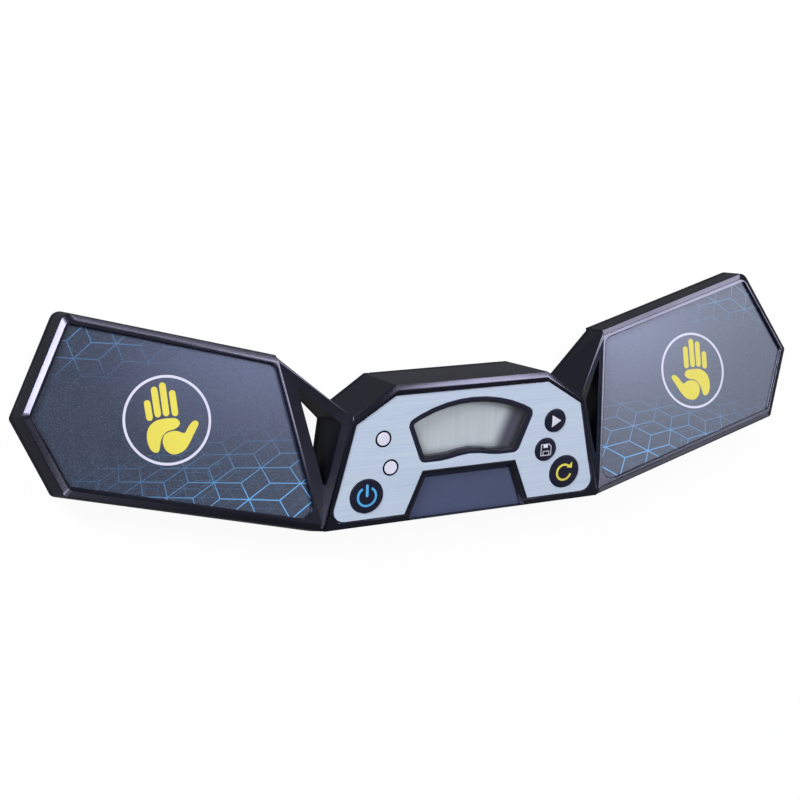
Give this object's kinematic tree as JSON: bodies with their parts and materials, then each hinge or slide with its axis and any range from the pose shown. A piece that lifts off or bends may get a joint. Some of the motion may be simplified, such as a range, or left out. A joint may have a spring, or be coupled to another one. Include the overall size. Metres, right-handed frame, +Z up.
{
  "type": "speed cube timer",
  "caption": "Speed cube timer: two hand-shaped touch pads on angled wings, joined to a sloping console with a display window, push buttons and status lights.",
  "frame": {"origin": "centre of the object's box on the surface it stands on", "axes": "+X to the user's right along the wings, +Y away from the user, +Z up"},
  "size_m": [0.2996, 0.0805, 0.0289],
  "materials": {
    "case_black": "satin moulded, lightly textured",
    "case_black_base": "satin moulded, fine texture",
    "panel_silver": "brushed along its length, pale blue silver",
    "nameplate_slate": "fine sand texture",
    "trim_navy": "satin",
    "clear_lens": "clear, glossy",
    "lcd_grey": "grey green display, unlit segments",
    "white_plastic": "moulded",
    "silicone_strip": "layered silicone",
    "board_green": "solder mask",
    "chip_black": "moulded",
    "tinned_parts": "tinned",
    "led_body": "clear resin",
    "lens_white": "milky",
    "button_navy": "satin, slightly domed",
    "switch_black": "moulded",
    "pad_slate": "fine sand texture with printed line pattern",
    "plate_copper": "bare foil",
    "lead_red": "wire insulation",
    "socket_cream": "moulded",
    "cell_jacket": "plain printed jacket",
    "spring_steel": "nickel plated wire",
    "contact_nickel": "nickel plated",
    "lead_black": "wire insulation",
    "screw_zinc": "zinc plated",
    "foot_rubber": "matt rubber"
  },
  "bodies": {
    "case": {"upper_shell": "case_black", "lower_shell": "case_black_base", "console_panel": "panel_silver", "nameplate": "nameplate_slate", "window_trim": "trim_navy", "display_window": "clear_lens", "lcd_cell": "lcd_grey", "lcd_holder": "white_plastic", "contact_strip": "silicone_strip", "main_board": "board_green", "controller_chip": "chip_black", "board_parts": "tinned_parts", "status_leds": "led_body", "status_lenses": "lens_white", "button_switches": "switch_black", "left_touch_pad": "pad_slate", "right_touch_pad": "pad_slate", "left_touch_plate": "plate_copper", "right_touch_plate": "plate_copper", "left_touch_lead": "lead_red", "right_touch_lead": "lead_red", "lead_sockets": "socket_cream", "battery_cells": "cell_jacket", "battery_springs": "spring_steel", "battery_contacts": "contact_nickel", "battery_leads": "lead_black", "case_screws": "screw_zinc", "board_screws": "screw_zinc", "rubber_feet": "foot_rubber"},
    "power_button": {"power_button": "button_navy"},
    "reset_button": {"reset_button": "button_navy"},
    "play_button": {"play_button": "button_navy"},
    "save_button": {"save_button": "button_navy"},
    "battery_cover": {"battery_cover": "case_black_base"}
  },
  "joints": [
    {"name": "power_button_press", "type": "slide", "parent": "case", "child": "power_button", "axis": [0, 0.342, -0.9397], "range_m": [0, 0.0007], "stiffness_N_per_m": 400, "springref_m": -0.0008},
    {"name": "reset_button_press", "type": "slide", "parent": "case", "child": "reset_button", "axis": [0, 0.342, -0.9397], "range_m": [0, 0.0007], "stiffness_N_per_m": 400, "springref_m": -0.0008},
    {"name": "play_button_press", "type": "slide", "parent": "case", "child": "play_button", "axis": [0, 0.342, -0.9397], "range_m": [0, 0.0007], "stiffness_N_per_m": 400, "springref_m": -0.0008},
    {"name": "save_button_press", "type": "slide", "parent": "case", "child": "save_button", "axis": [0, 0.342, -0.9397], "range_m": [0, 0.0007], "stiffness_N_per_m": 400, "springref_m": -0.0008},
    {"name": "battery_cover_slide", "type": "slide", "parent": "case", "child": "battery_cover", "axis": [0, 1, 0], "range_m": [0, 0.03]}
  ]
}
